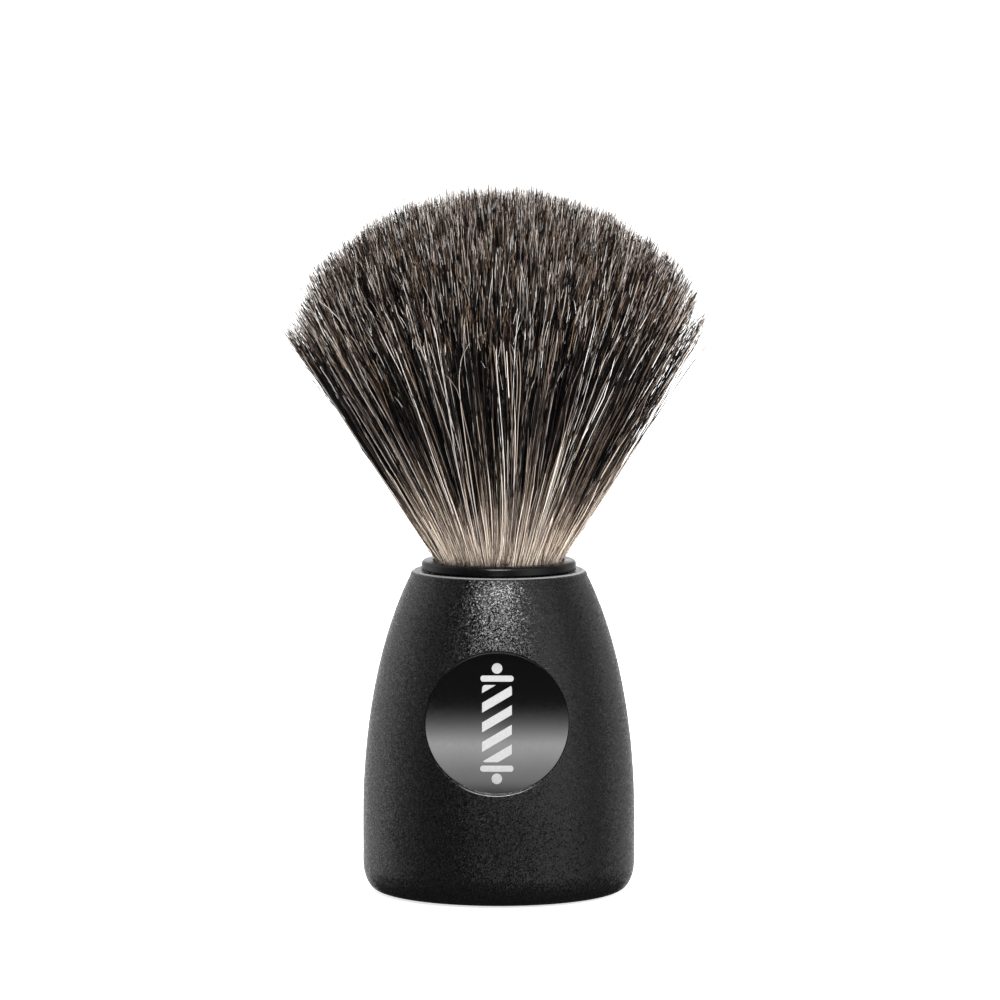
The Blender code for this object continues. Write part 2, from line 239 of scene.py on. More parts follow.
def bump(made, height, strength, distance):
    """Adds a bump to the shader's normal."""
    nodes, links = made.node_tree.nodes, made.node_tree.links
    node = nodes.new("ShaderNodeBump")
    node.inputs["Strength"].default_value = strength
    node.inputs["Distance"].default_value = distance
    links.new(height, node.inputs["Height"])
    links.new(node.outputs["Normal"], nodes["Principled BSDF"].inputs["Normal"])


def link_input(made, output, name):
    """Feeds a texture to one of the shader's sockets."""
    made.node_tree.links.new(output, made.node_tree.nodes["Principled BSDF"].inputs[name])


def grain(made, scale, tilt, polished, dull):
    """Tilts the shader's normal at random from one grain to the next, so that single grains glint.

    Some grains are polished and mirror a light, and the others are dull and spread it.
    """
    nodes, links = made.node_tree.nodes, made.node_tree.links
    place = nodes.new("ShaderNodeTexCoord")
    texture = nodes.new("ShaderNodeTexVoronoi")
    texture.inputs["Scale"].default_value = scale
    links.new(place.outputs["Object"], texture.inputs["Vector"])
    middle = nodes.new("ShaderNodeVectorMath")
    middle.operation = "SUBTRACT"
    middle.inputs[1].default_value = (0.5, 0.5, 0.5)
    links.new(texture.outputs["Color"], middle.inputs[0])
    amount = nodes.new("ShaderNodeVectorMath")
    amount.operation = "SCALE"
    amount.inputs["Scale"].default_value = tilt
    links.new(middle.outputs["Vector"], amount.inputs[0])
    surface = nodes.new("ShaderNodeNewGeometry")
    total = nodes.new("ShaderNodeVectorMath")
    total.operation = "ADD"
    links.new(surface.outputs["Normal"], total.inputs[0])
    links.new(amount.outputs["Vector"], total.inputs[1])
    unit = nodes.new("ShaderNodeVectorMath")
    unit.operation = "NORMALIZE"
    links.new(total.outputs["Vector"], unit.inputs[0])
    links.new(unit.outputs["Vector"], nodes["Principled BSDF"].inputs["Normal"])
    parts = nodes.new("ShaderNodeSeparateColor")
    links.new(texture.outputs["Color"], parts.inputs["Color"])
    stops = [(0.0, polished), (0.45, polished), (0.6, dull), (1.0, dull)]
    link_input(made, ramp(made, parts.outputs["Blue"], stops), "Roughness")


def handle_plastic(name, highlight_stops):
    """Black moulded plastic with a glinting eroded grain.

    Its last argument holds pairs of a height and a share: how far a painted highlight lightens the plastic
    there, along an edge where light catches.
    """
    # The third colour is the pale tone of the painted highlight.
    dark, light, edge = (0.0018, 0.0018, 0.0019), (0.0032, 0.0032, 0.0034), (0.5, 0.5, 0.505)
    made = new_material(name, dark, GRAIN_DULL)
    nodes, links = made.node_tree.nodes, made.node_tree.links
    body = ramp(made, noise(made, 2600.0, detail=2.0), [(0.35, dark), (0.65, light)])
    # Painted highlight: a mask by height mixes the grain's tone towards that pale tone.
    low, high = highlight_stops[0][0], highlight_stops[-1][0]
    stops = [((height - low) / (high - low), share) for height, share in highlight_stops]
    painted_highlight = ramp(made, height_share(made, low, high), stops)
    mix = nodes.new("ShaderNodeMix")
    mix.data_type = "RGBA"
    mix.inputs["B"].default_value = (*edge, 1.0)
    links.new(painted_highlight, mix.inputs["Factor"])
    links.new(body, mix.inputs["A"])
    link_input(made, mix.outputs["Result"], "Base Color")
    grain(made, GRAIN_SCALE, GRAIN_TILT, GRAIN_POLISHED, GRAIN_DULL)
    return made


def eroded_plastic(name, colour, roughness, pit_scale, pit_depth):
    """Moulded plastic with a spark-eroded surface of fine pits."""
    made = new_material(name, colour, roughness)
    pits = noise(made, pit_scale, detail=3.0, roughness=0.6)
    tones = [(0.3, scaled(colour, 0.8)), (0.7, scaled(colour, 1.35))]
    link_input(made, ramp(made, pits, tones), "Base Color")
    polish = noise(made, pit_scale * 0.6, detail=1.0)
    link_input(made, ramp(made, polish, [(0.35, roughness * 1.15), (0.68, roughness * 0.75)]), "Roughness")
    bump(made, pits, 1.0, pit_depth)
    return made


def gloss_plastic(name, colour, roughness, specular):
    """Polished plastic with a trace of moulding unevenness and faint handling marks."""
    made = new_material(name, colour, roughness, specular=specular)
    smear = noise(made, 260.0, detail=3.0)
    link_input(made, ramp(made, smear, [(0.35, roughness * 0.8), (0.75, roughness * 1.5)]), "Roughness")
    tone = noise(made, 900.0, detail=2.0)
    link_input(made, ramp(made, tone, [(0.3, colour), (0.8, scaled(colour, 1.2))]), "Base Color")
    bump(made, noise(made, 120.0, detail=1.0), 0.15, 0.02 * MM)
    return made


def polished_metal(name, colour, roughness):
    """Dark mirror metal with a fine unevenness in its polish and its tone."""
    made = new_material(name, colour, roughness, metallic=1.0)
    polish = noise(made, 2400.0, detail=2.0)
    link_input(made, ramp(made, polish, [(0.3, roughness * 0.85), (0.75, roughness * 1.2)]), "Roughness")
    cloud = noise(made, 150.0, detail=2.0)
    link_input(made, ramp(made, cloud, [(0.3, scaled(colour, 0.94)), (0.7, colour)]), "Base Color")
    return made


def mottled(name, dark, light, roughness, scale, depth, metallic=0.0, stretch=None):
    """A plain worked surface: two close tones in a noise, with a bump at the same scale."""
    made = new_material(name, dark, roughness, metallic)
    pattern = noise(made, scale, detail=3.0, stretch=stretch)
    link_input(made, ramp(made, pattern, [(0.3, dark), (0.7, light)]), "Base Color")
    bump(made, pattern, 0.6, depth)
    return made


# ---------------------------------------------------------------- mesh helpers

def object_from(name, points, faces, looks, slots=None, smooth_angle=35.0):
    """A mesh object that rides on the root body, shaded smooth with its hard edges kept."""
    mesh = bpy.data.meshes.new(name)
    mesh.from_pydata(points, [], faces)
    for look in looks:
        mesh.materials.append(look)
    if slots is not None:
        mesh.polygons.foreach_set("material_index", slots)
    mesh.shade_smooth()
    mesh.set_sharp_from_angle(angle=math.radians(smooth_angle))
    mesh.update()
    made = bpy.data.objects.new(name, mesh)
    bpy.context.scene.collection.objects.link(made)
    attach(made, "root")
    return made


def face_outward(made):
    """Turns every face of a closed mesh to point out."""
    bm = bmesh.new()
    bm.from_mesh(made.data)
    bmesh.ops.recalc_face_normals(bm, faces=bm.faces[:])
    bm.to_mesh(made.data)
    bm.free()


def arc(centre, radius, start, end, steps):
    """Points (r, z) of an arc in the profile plane, with its angles in degrees from +r."""
    angles = np.radians(np.linspace(start, end, steps + 1))
    return [(centre[0] + radius * math.cos(a), centre[1] + radius * math.sin(a)) for a in angles]


def curve_through(points, steps):
    """A smooth Catmull-Rom curve through a few (r, z) points, ends included."""
    padded = [points[0], *points, points[-1]]
    made = []
    for index in range(1, len(padded) - 2):
        before, first, second, after = (Vector(p) for p in padded[index - 1:index + 3])
        for step in range(steps):
            t = step / steps
            near = first * 2.0 + (second - before) * t
            far = (before * 2.0 - first * 5.0 + second * 4.0 - after) * t**2
            cube = (first * 3.0 - before - second * 3.0 + after) * t**3
            made.append(tuple((near + far + cube) * 0.5))
    made.append(points[-1])
    return made


def turned(name, profile, looks, segments=192, place=None):
    """A closed solid turned about Z. place maps each (x, y, z) to its final position."""
    points, rows = [], []
    for radius, height in profile:
        start = len(points)
        if radius < 1e-7:
            points.append((0.0, 0.0, height))
            rows.append([start] * segments)
            continue
        for step in range(segments):
            angle = 2.0 * math.pi * step / segments
            points.append((radius * math.cos(angle), radius * math.sin(angle), height))
        rows.append(list(range(start, start + segments)))
    faces = []
    for row, following in zip(rows, rows[1:]):
        for step in range(segments):
            after = (step + 1) % segments
            corners = [row[step], row[after], following[after], following[step]]
            corners = list(dict.fromkeys(corners))
            if len(corners) > 2:
                faces.append(corners)
    if place is not None:
        points = [place(point) for point in points]
    made = object_from(name, points, faces, looks)
    face_outward(made)
    return made


# ---------------------------------------------------------------- handle

def handle_radius(height):
    """The handle's outer radius at each height, without the rounds at its ends."""
    share = np.clip((np.asarray(height) - BELLY_HEIGHT) / OGIVE_HEIGHT, 0.0, 0.999)
    return HANDLE_RADIUS * np.sqrt(1.0 - share * share)


def badge_origin():
    """Where the badge's face stands level with the handle's side."""
    surface = float(handle_radius(BADGE_HEIGHT))
    return Vector((0.0, -math.sqrt(surface**2 - BADGE_RADIUS**2), BADGE_HEIGHT))


def on_badge(across, up, out=0.0):
    """A point given in the badge's frame, in the object's frame."""
    return badge_origin() + Vector((across, 0.0, 0.0)) + BADGE_UP * up + BADGE_OUT * out


def surface_height(across, up):
    """How far the handle's outer surface lies out along the badge's axis, over points of its face."""
    origin = badge_origin()
    out = np.zeros_like(across)
    for _ in range(25):
        height = origin.z + up * BADGE_UP.z + out * BADGE_OUT.z
        depth = -np.sqrt(handle_radius(height) ** 2 - across**2)
        out = (depth - origin.y - up * BADGE_UP.y) / BADGE_OUT.y
    return out


def handle_shell():
    """The moulded shell, with a clean ring of faces round the badge pocket.

    A window of the turned grid is left out round the pocket. Rings then run from the window's border
    to the pocket's edge, along the surface, and on over the rounded edge and down the pocket's wall.
    """
    columns = 208
    window_columns = 27
    side_low, side_high = HANDLE_BOTTOM + FOOT_ROUND_HEIGHT, HANDLE_TOP - RIM_ROUND
    side_rows = 84
    side = [(float(handle_radius(z)), float(z)) for z in np.linspace(side_low, side_high, side_rows)]
    heights = [z for _, z in side]
    window_low = int(np.searchsorted(heights, BADGE_HEIGHT - POCKET_WINDOW))
    window_high = int(np.searchsorted(heights, BADGE_HEIGHT + POCKET_WINDOW))
    rim_centre = (side[-1][0] - RIM_ROUND, side_high)
    hollow = [(r * MM, z * MM) for r, z in HOLLOW]
    foot = [(hollow[-1][0], HANDLE_BOTTOM)]
    for turn in np.radians(np.linspace(0.0, 90.0, 17))[:-1]:
        radius = HANDLE_RADIUS - FOOT_ROUND_WIDTH * (1.0 - math.sin(turn))
        foot.append((radius, HANDLE_BOTTOM + FOOT_ROUND_HEIGHT * (1.0 - math.cos(turn))))
    rim = arc(rim_centre, RIM_ROUND, 24.0, 90.0, 10)
    socket = [(SOCKET_RADIUS, HANDLE_TOP), (SOCKET_RADIUS, SOCKET_FLOOR), (0.0, SOCKET_FLOOR)]
    profile = hollow + foot + side + rim + socket
    first_side = len(hollow) + len(foot)

    points, rows = [], []
    for radius, height in profile:
        start = len(points)
        if radius < 1e-7:
            points.append((0.0, 0.0, height))
            rows.append([start] * columns)
            continue
        for column in range(columns):
            angle = 2.0 * math.pi * (column - window_columns) / columns
            points.append((radius * math.sin(angle), -radius * math.cos(angle), height))
        rows.append(list(range(start, start + columns)))

    low, high = first_side + window_low, first_side + window_high
    wide = 2 * window_columns
    faces = []
    for index, (row, following) in enumerate(zip(rows, rows[1:])):
        for column in range(columns):
            if low <= index < high and column < wide:
                continue
            after = (column + 1) % columns
            corners = list(dict.fromkeys([row[column], row[after], following[after], following[column]]))
            if len(corners) > 2:
                faces.append(corners)

    border = [rows[low][column] for column in range(wide)]
    border += [rows[index][wide] for index in range(low, high)]
    border += [rows[high][column] for column in range(wide, 0, -1)]
    border += [rows[index][0] for index in range(high, low, -1)]
    round_faces, round_slots = pocket_faces(points, border)
    slots = [0] * len(faces) + round_slots
    faces += round_faces
    # Painted highlight along the rim's rounded top: a paler base colour where light catches it.
    rim_painted_highlight = [(HANDLE_TOP - depth, share) for depth, share in RIM_PAINTED_HIGHLIGHT]
    body = handle_plastic("handle_eroded_plastic", rim_painted_highlight)
    # Painted highlight along the pocket's lower lip, material slot 1: a paler base colour where light
    # catches its rounded edge.
    lip = handle_plastic("handle_pocket_lip", LIP_PAINTED_HIGHLIGHT)
    made = object_from("handle_body", points, faces, [body, lip], slots)
    face_outward(made)
    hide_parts("handle_shell")


def pocket_faces(points, border):
    """Adds the rings between the window's border and the pocket, and the pocket itself.

    Returns the faces and their material slots: 1 on the pocket's rounded edge and 0 elsewhere.
    """
    origin = np.array(badge_origin())
    window = np.array([points[index] for index in border]) - origin
    across = window[:, 0]
    up = window @ np.array(BADGE_UP)
    angle = np.arctan2(up, across)
    rings = []

    def add_ring(ring_across, ring_up, ring_out):
        start = len(points)
        place = origin + np.outer(ring_up, BADGE_UP) + np.outer(ring_out, BADGE_OUT)
        place[:, 0] += ring_across
        points.extend(map(tuple, place.tolist()))
        rings.append(list(range(start, start + len(border))))

    rings.append(list(border))
    wall_across, wall_up = POCKET_RADIUS * np.cos(angle), POCKET_RADIUS * np.sin(angle)
    corner_out = surface_height(wall_across, wall_up)
    edge = POCKET_EDGE * np.clip(corner_out / POCKET_DEPTH, 0.1, 1.0)
    lip_radius = POCKET_RADIUS + edge
    lip_across, lip_up = lip_radius * np.cos(angle), lip_radius * np.sin(angle)
    ring_count, crowding = 12, 0.8
    for ring in range(1, ring_count + 1):
        share = (ring / ring_count) ** crowding
        ring_across = across + (lip_across - across) * share
        ring_up = up + (lip_up - up) * share
        add_ring(ring_across, ring_up, surface_height(ring_across, ring_up))
    lip_out = surface_height(lip_across, lip_up)
    edge_steps = (0.25, 0.5, 0.75, 1.0)
    for t in edge_steps:
        start, middle, end = (1.0 - t) ** 2, 2.0 * t * (1.0 - t), t * t
        ring_across = start * lip_across + (middle + end) * wall_across
        ring_up = start * lip_up + (middle + end) * wall_up
        add_ring(ring_across, ring_up, start * lip_out + middle * corner_out + end * (corner_out - edge))
    add_ring(wall_across, wall_up, np.full(len(border), -POCKET_DEPTH))
    for share in (0.66, 0.33):
        add_ring(wall_across * share, wall_up * share, np.full(len(border), -POCKET_DEPTH))
    points.append(tuple(on_badge(0.0, 0.0, -POCKET_DEPTH)))

    faces, slots = [], []
    count = len(border)
    for index, (ring, inner) in enumerate(zip(rings, rings[1:])):
        for step in range(count):
            after = (step + 1) % count
            faces.append([ring[step], ring[after], inner[after], inner[step]])
            slots.append(1 if ring_count <= index < ring_count + len(edge_steps) else 0)
    for step in range(count):
        faces.append([rings[-1][step], rings[-1][(step + 1) % count], len(points) - 1])
        slots.append(0)
    return faces, slots


# ---------------------------------------------------------------- collar and badge

def knot_collar():
    """The glossy collar: upright edge, rounded shoulder, thin lip and the cup in the socket."""
    flange_under = HANDLE_TOP + 0.08 * MM
    cup_outer, cup_inner, cup_floor = 10.0 * MM, 9.2 * MM, CUP_BOTTOM + 1.0 * MM
    shoulder_round, edge_round = 0.62 * MM, 0.12 * MM
    shoulder_centre = (COLLAR_RADIUS - shoulder_round, LIP_TOP - 0.06 * MM - shoulder_round)
    profile = [(0.0, CUP_BOTTOM), (cup_outer, CUP_BOTTOM), (cup_outer, flange_under)]
    profile += arc((COLLAR_RADIUS - edge_round, flange_under + edge_round), edge_round, -90.0, 0.0, 6)
    profile += arc(shoulder_centre, shoulder_round, 0.0, 84.0, 16)
    profile += curve_through([
        (10.7 * MM, LIP_TOP - 0.02 * MM),
        (10.45 * MM, LIP_TOP),
        (10.1 * MM, LIP_TOP - 0.04 * MM),
        (9.88 * MM, LIP_TOP - 0.12 * MM),
    ], 5)
    profile += [(cup_inner, ROOT_HEIGHT), (cup_inner, cup_floor), (0.0, cup_floor)]
    look = gloss_plastic("collar_gloss_black", (0.003, 0.003, 0.0033), 0.22, 0.3)
    made = turned("collar_ring", profile, [look])
    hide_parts("knot_collar")


def crown(radius):
    """The badge's face at a radius, measured out from its middle: zero or less."""
    face_radius = BADGE_RADIUS - BADGE_EDGE
    sphere = (face_radius**2 + BADGE_CROWN**2) / (2.0 * BADGE_CROWN)
    return math.sqrt(sphere**2 - radius**2) - sphere


def badge_disc():
    """The polished disc: crowned face and a softly rounded rim."""
    face_radius = BADGE_RADIUS - BADGE_EDGE
    profile = [(0.0, -BADGE_THICKNESS), (BADGE_RADIUS, -BADGE_THICKNESS)]
    profile += arc((face_radius, crown(face_radius) - BADGE_EDGE), BADGE_EDGE, 0.0, 90.0, 12)
    profile += [(face_radius * s, crown(face_radius * s)) for s in np.linspace(0.96, 0.0, 16)]
    look = polished_metal("badge_dark_mirror", (0.33, 0.33, 0.335), 0.07)

    def set_in(point):
        return tuple(on_badge(point[0], point[1], point[2] + BADGE_LIFT))

    made = turned("badge_face", profile, [look], place=set_in)
    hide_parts("badge_disc")


def clipped(polygon, outline):
    """The part of a polygon that lies inside a convex outline, both counter-clockwise."""
    result = list(polygon)
    for first, second in zip(outline, outline[1:] + outline[:1]):
        kept, previous = [], result[-1] if result else None
        for point in result:
            side = inside(first, second, point)
            side_before = inside(first, second, previous)
            if side * side_before < 0.0:
                share = side_before / (side_before - side)
                kept.append(tuple(a + (b - a) * share for a, b in zip(previous, point)))
            if side >= 0.0:
                kept.append(point)
            previous = point
        result = kept
    return result


def inside(first, second, point):
    """Positive where a point lies to the left of the line from first to second."""
    return (second[0] - first[0]) * (point[1] - first[1]) - (second[1] - first[1]) * (point[0] - first[0])


def badge_emblem():
    """A plain barber-pole sign printed on the badge: slanted bands between two round knobs."""
    half_width, half_height, corner = 2.2 * MM, 5.7 * MM, 0.5 * MM
    band, slant = 1.45 * MM, 2.6 * MM
    cap_overhang, cap_half_height, cap_corner = 0.25 * MM, 0.45 * MM, 0.4 * MM
    knob_radius, knob_corner = 0.78 * MM, 0.77 * MM
    cap_middle, knob_middle = half_height + 0.95 * MM, half_height + 2.45 * MM
    outline = rounded_bar(half_width, half_height, corner)
    shapes = []
    steps = int(2.0 * (half_height + slant) / (2.0 * band)) + 1
    for step in range(-steps // 2, steps // 2 + 2):
        low = step * 2.0 * band
        stripe = [(-half_width, low - slant / 2), (half_width, low + slant / 2),
                  (half_width, low + slant / 2 + band), (-half_width, low - slant / 2 + band)]
        stripe = clipped(stripe, outline)
        if len(stripe) > 2:
            shapes.append(stripe)
    for side in (-1.0, 1.0):
        cap = rounded_bar(half_width + cap_overhang, cap_half_height, cap_corner)
        shapes.append([(x, y + side * cap_middle) for x, y in cap])
        knob = rounded_bar(knob_radius, knob_radius, knob_corner)
        shapes.append([(x, y + side * knob_middle) for x, y in knob])
    points, faces = [], []
    for shape in shapes:
        add_print(points, faces, shape)
    look = mottled("emblem_print", (0.33, 0.33, 0.33), (0.39, 0.39, 0.39), 0.5, 4000.0, 0.002 * MM)
    made = object_from("badge_emblem", points, faces, [look])
    face_outward(made)


def rounded_bar(half_width, half_height, corner):
    """A counter-clockwise rectangle with round corners."""
    shape = []
    for sign_x, sign_y, start in ((1, 1, 0), (-1, 1, 90), (-1, -1, 180), (1, -1, 270)):
        centre = (sign_x * (half_width - corner), sign_y * (half_height - corner))
        shape += arc(centre, corner, start, start + 90, 8)
    return shape


def add_print(points, faces, shape):
    """Adds one printed shape as a thin plate that follows the badge's crown."""
    ink_low, ink_high = 0.005 * MM, 0.03 * MM
    start, count = len(points), len(shape)
    for lift in (ink_low, ink_high):
        for x, y in shape:
            points.append(tuple(on_badge(x, y, crown(math.hypot(x, y)) + BADGE_LIFT + lift)))
    faces.append(list(range(start + count - 1, start - 1, -1)))
    faces.append(list(range(start + count, start + 2 * count)))
    for step in range(count):
        after = (step + 1) % count
        faces.append([start + step, start + after, start + count + after, start + count + step])


# ---------------------------------------------------------------- hair

def hair_materials():
    """One material for each tone. The tones along each strand make the pattern."""
    return [new_material(f"hair_{tone}", colour, 0.45, specular=0.12) for tone, colour in HAIR_TONES.items()]


def nearest(points, centres):
    """For each point, the index of the nearest centre."""
    chosen, batch = np.empty(len(points), dtype=int), 1000
    for start in range(0, len(points), batch):
        part = points[start:start + batch]
        gap = ((part[:, None, :] - centres[None, :, :]) ** 2).sum(axis=2)
        chosen[start:start + batch] = gap.argmin(axis=1)
    return chosen


def scattered(rng, count, reach):
    """Points spread evenly over a disc."""
    turns = rng.random(count) * 2.0 * math.pi
    middles = np.sqrt(rng.random(count)) * reach
    return np.stack([middles * np.cos(turns), middles * np.sin(turns)], axis=1)


def dome_height(reach):
    """The height that the tips reach at a distance from the axis."""
    past = np.clip(reach - DOME_SHOULDER, 0.0, None) / MM
    ball = np.sqrt(DOME_RADIUS**2 - np.minimum(reach, DOME_EDGE) ** 2)
    return np.maximum(DOME_MIDDLE + ball - DOME_DROP * past**2, DOME_LOWEST)


def strand_places(rng):
    """Each strand's place in the collar's mouth: its share of the radius, its angle and its lock."""
    golden = math.pi * (3.0 - math.sqrt(5.0))
    share = np.sqrt((np.arange(STRANDS) + 0.5) / STRANDS)
    share = np.clip(share + rng.normal(0.0, 0.012, STRANDS), 0.0, 1.0)
    azimuth = np.arange(STRANDS) * golden + rng.normal(0.0, 0.02, STRANDS)
    direction = np.stack([np.cos(azimuth), np.sin(azimuth)], axis=1)
    lock = nearest(direction * share[:, None], scattered(rng, LOCKS, 1.0))
    return share, azimuth, direction, lock


def strand_tips(rng, share, azimuth, lock):
    """Where each strand would meet the dome, pulled towards its tuft, and the tuft that it belongs to."""
    lock_drift, own_drift, loose_share = 0.45 * MM, 0.22 * MM, 0.2
    heading = azimuth + rng.normal(0.0, 0.02, STRANDS)
    spread = FAN_REACH * share * (1.0 + rng.normal(0.0, 0.016, STRANDS))
    flat = spread[:, None] * np.stack([np.cos(heading), np.sin(heading)], axis=1)
    flat += rng.normal(0.0, lock_drift, (LOCKS, 2))[lock]
    flat[:, 0] -= FAN_LEAN
    centres = scattered(rng, TUFTS, FAN_REACH)
    tuft = nearest(flat, centres)
    pull = rng.uniform(0.1, 0.62, STRANDS) * (rng.random(STRANDS) > loose_share)
    flat += (centres[tuft] - flat) * pull[:, None] + rng.normal(0.0, own_drift, (STRANDS, 2))
    return np.column_stack([flat, dome_height(np.hypot(flat[:, 0], flat[:, 1]))]), tuft


def strand_shortfalls(rng, tuft):
    """How far each strand stops short of the dome. Strays have less than nothing, and stand past it."""
    deep_share, stray_share = 0.24, 0.02
    short = rng.exponential(0.8 * MM, STRANDS)
    deep = rng.random(STRANDS) < deep_share
    short[deep] += rng.uniform(1.0, 9.0, deep.sum()) * MM
    stray = rng.random(STRANDS) < stray_share
    short[stray] -= rng.uniform(0.6, 2.2, stray.sum()) * MM
    short -= rng.normal(0.25 * MM, 0.4 * MM, TUFTS)[tuft]
    return short


def strand_steps(rng):
    """Where along each strand its rings lie, each strand's a little different."""
    steps = np.tile(RING_PLACES, (STRANDS, 1))
    gaps = np.diff(RING_PLACES)
    room = np.minimum(gaps[:-1], gaps[1:])
    steps[:, 1:-1] += rng.uniform(-0.45, 0.45, (STRANDS, len(room))) * room
    return steps


def strand_curves(steps, direction, share, tip, short):
    """Smooth curves that leave the mouth steeply and then lean out, with their lengths and leans."""
    steepness, first_reach, turn_reach, second_reach = 0.62, 0.06, 0.04, 0.56
    mouth = np.column_stack([direction * (MOUTH_RADIUS * share)[:, None], np.full(STRANDS, MOUTH_HEIGHT)])
    full = np.linalg.norm(tip - mouth, axis=1)
    tip = mouth + (tip - mouth) * (1.0 - short / full)[:, None]
    length = np.linalg.norm(tip - mouth, axis=1)
    lean = (tip - mouth) / length[:, None]
    early = lean * np.array([steepness, steepness, 1.0])
    early /= np.linalg.norm(early, axis=1)[:, None]
    first = mouth + early * (length * first_reach)[:, None]
    second = mouth + early * (length * turn_reach)[:, None] + lean * (length * second_reach)[:, None]
    t = steps[:, :, None]
    path = (
        mouth[:, None, :] * (1.0 - t) ** 3
        + first[:, None, :] * 3.0 * t * (1.0 - t) ** 2
        + second[:, None, :] * 3.0 * t**2 * (1.0 - t)
        + tip[:, None, :] * t**3
    )
    return path, length, lean


def bend_strands(rng, path, steps, lean, lock):
    """Gives each strand its own bow, sway and hooked tip, and the bow that it shares with its lock."""
    wild_share, wildness, bow_limit, hook_power = 0.08, 1.9, 0.9 * MM, 15
    sideways = np.cross(lean, rng.normal(size=(STRANDS, 3)))
    sideways /= np.linalg.norm(sideways, axis=1)[:, None]
    other = np.cross(lean, sideways)
    wild = np.where(rng.random(STRANDS) < wild_share, wildness, 1.0)
    bow = np.clip(rng.normal(0.0, 0.46 * MM, STRANDS) * wild, -bow_limit, bow_limit)
    sway = rng.normal(0.0, 0.21 * MM, STRANDS) * wild
    hook = rng.normal(0.0, 0.85 * MM, STRANDS)
    phase = rng.uniform(0.0, 2.0 * math.pi, STRANDS)
    waves = rng.uniform(4.0, 9.0, STRANDS)
    wave = bow[:, None] * np.sin(math.pi * steps) + hook[:, None] * steps**hook_power
    ripple = sway[:, None] * np.sin(math.pi * waves[:, None] * steps + phase[:, None]) * steps
    path += wave[:, :, None] * sideways[:, None, :] + ripple[:, :, None] * other[:, None, :]
    lock_bow = rng.normal(0.0, 0.34 * MM, (LOCKS, 3))[lock]
    path += lock_bow[:, None, :] * np.sin(math.pi * steps[:, :, None])


def strand_paths(rng):
    """Points along every strand from its root in the collar to its tip, and each strand's numbers."""
    share, azimuth, direction, lock = strand_places(rng)
    tip, tuft = strand_tips(rng, share, azimuth, lock)
    short = strand_shortfalls(rng, tuft)
    steps = strand_steps(rng)
    path, length, lean = strand_curves(steps, direction, share, tip, short)
    bend_strands(rng, path, steps, lean, lock)
    root = np.column_stack([direction * (ROOT_RADIUS * share)[:, None], np.full(STRANDS, ROOT_HEIGHT)])
    return np.concatenate([root[:, None, :], path], axis=1), steps, length, share, lock


def root_lengths(rng, share, lock):
    """How far up each strand its pale root ends. It ends higher on some strands and round the outside."""
    shortest, longest, outer_gain, outer_share = 0.5 * MM, 26.0 * MM, 3.0 * MM, 0.2
    ends = rng.normal(4.9 * MM, 4.2 * MM, STRANDS) + rng.normal(0.0, 2.2 * MM, LOCKS)[lock]
    ends += np.where(rng.random(STRANDS) < 0.2, rng.uniform(0.0, 13.0 * MM, STRANDS), 0.0)
    ends += outer_gain * np.clip((share - (1.0 - outer_share)) / outer_share, 0.0, 1.0)
    return np.clip(ends, shortest, longest)


def strand_tones(rng, steps, length, share, lock):
    """The tone of every segment of every strand: pale root, black band and grizzled tip."""
    tone = {name: index for index, name in enumerate(HAIR_TONES)}
    along = (steps[:, 1:] + steps[:, :-1]) / 2.0 * length[:, None]
    before_tip = length[:, None] - along
    past = along - root_lengths(rng, share, lock)[:, None]

    def pick(odds):
        return rng.choice([tone[name] for name in odds], STRANDS, p=list(odds.values()))[:, None]

    root_tone, band_tone = pick(ROOT_ODDS), pick(BAND_ODDS)
    tip_tone, end_tone = pick(TIP_ODDS), pick(END_ODDS)
    slots = np.where(past < 0.0, root_tone, band_tone)
    start = 0.0
    for end, name in FADE_STEPS:
        slots = np.where((past >= start) & (past < end), tone[name], slots)
        start = end
    tip_length = rng.gamma(2.0, 1.6 * MM, STRANDS)[:, None]
    slots = np.where(before_tip < tip_length, tip_tone, slots)
    end_length = rng.gamma(2.0, 0.5 * MM, STRANDS)[:, None]
    slots = np.where(before_tip < end_length, end_tone, slots)

    pale_share = 0.035 + 0.08 * rng.random(LOCKS)
    pale = (rng.random(STRANDS) < pale_share[lock])[:, None]
    slots = np.where(pale & (past > 0.0), pick(PALE_ODDS), slots)
    dark = (rng.random(STRANDS) < 0.1)[:, None]
    slots = np.where(dark & (past < 0.0), tone["brown"], slots)
    return np.concatenate([slots[:, :1], slots], axis=1)


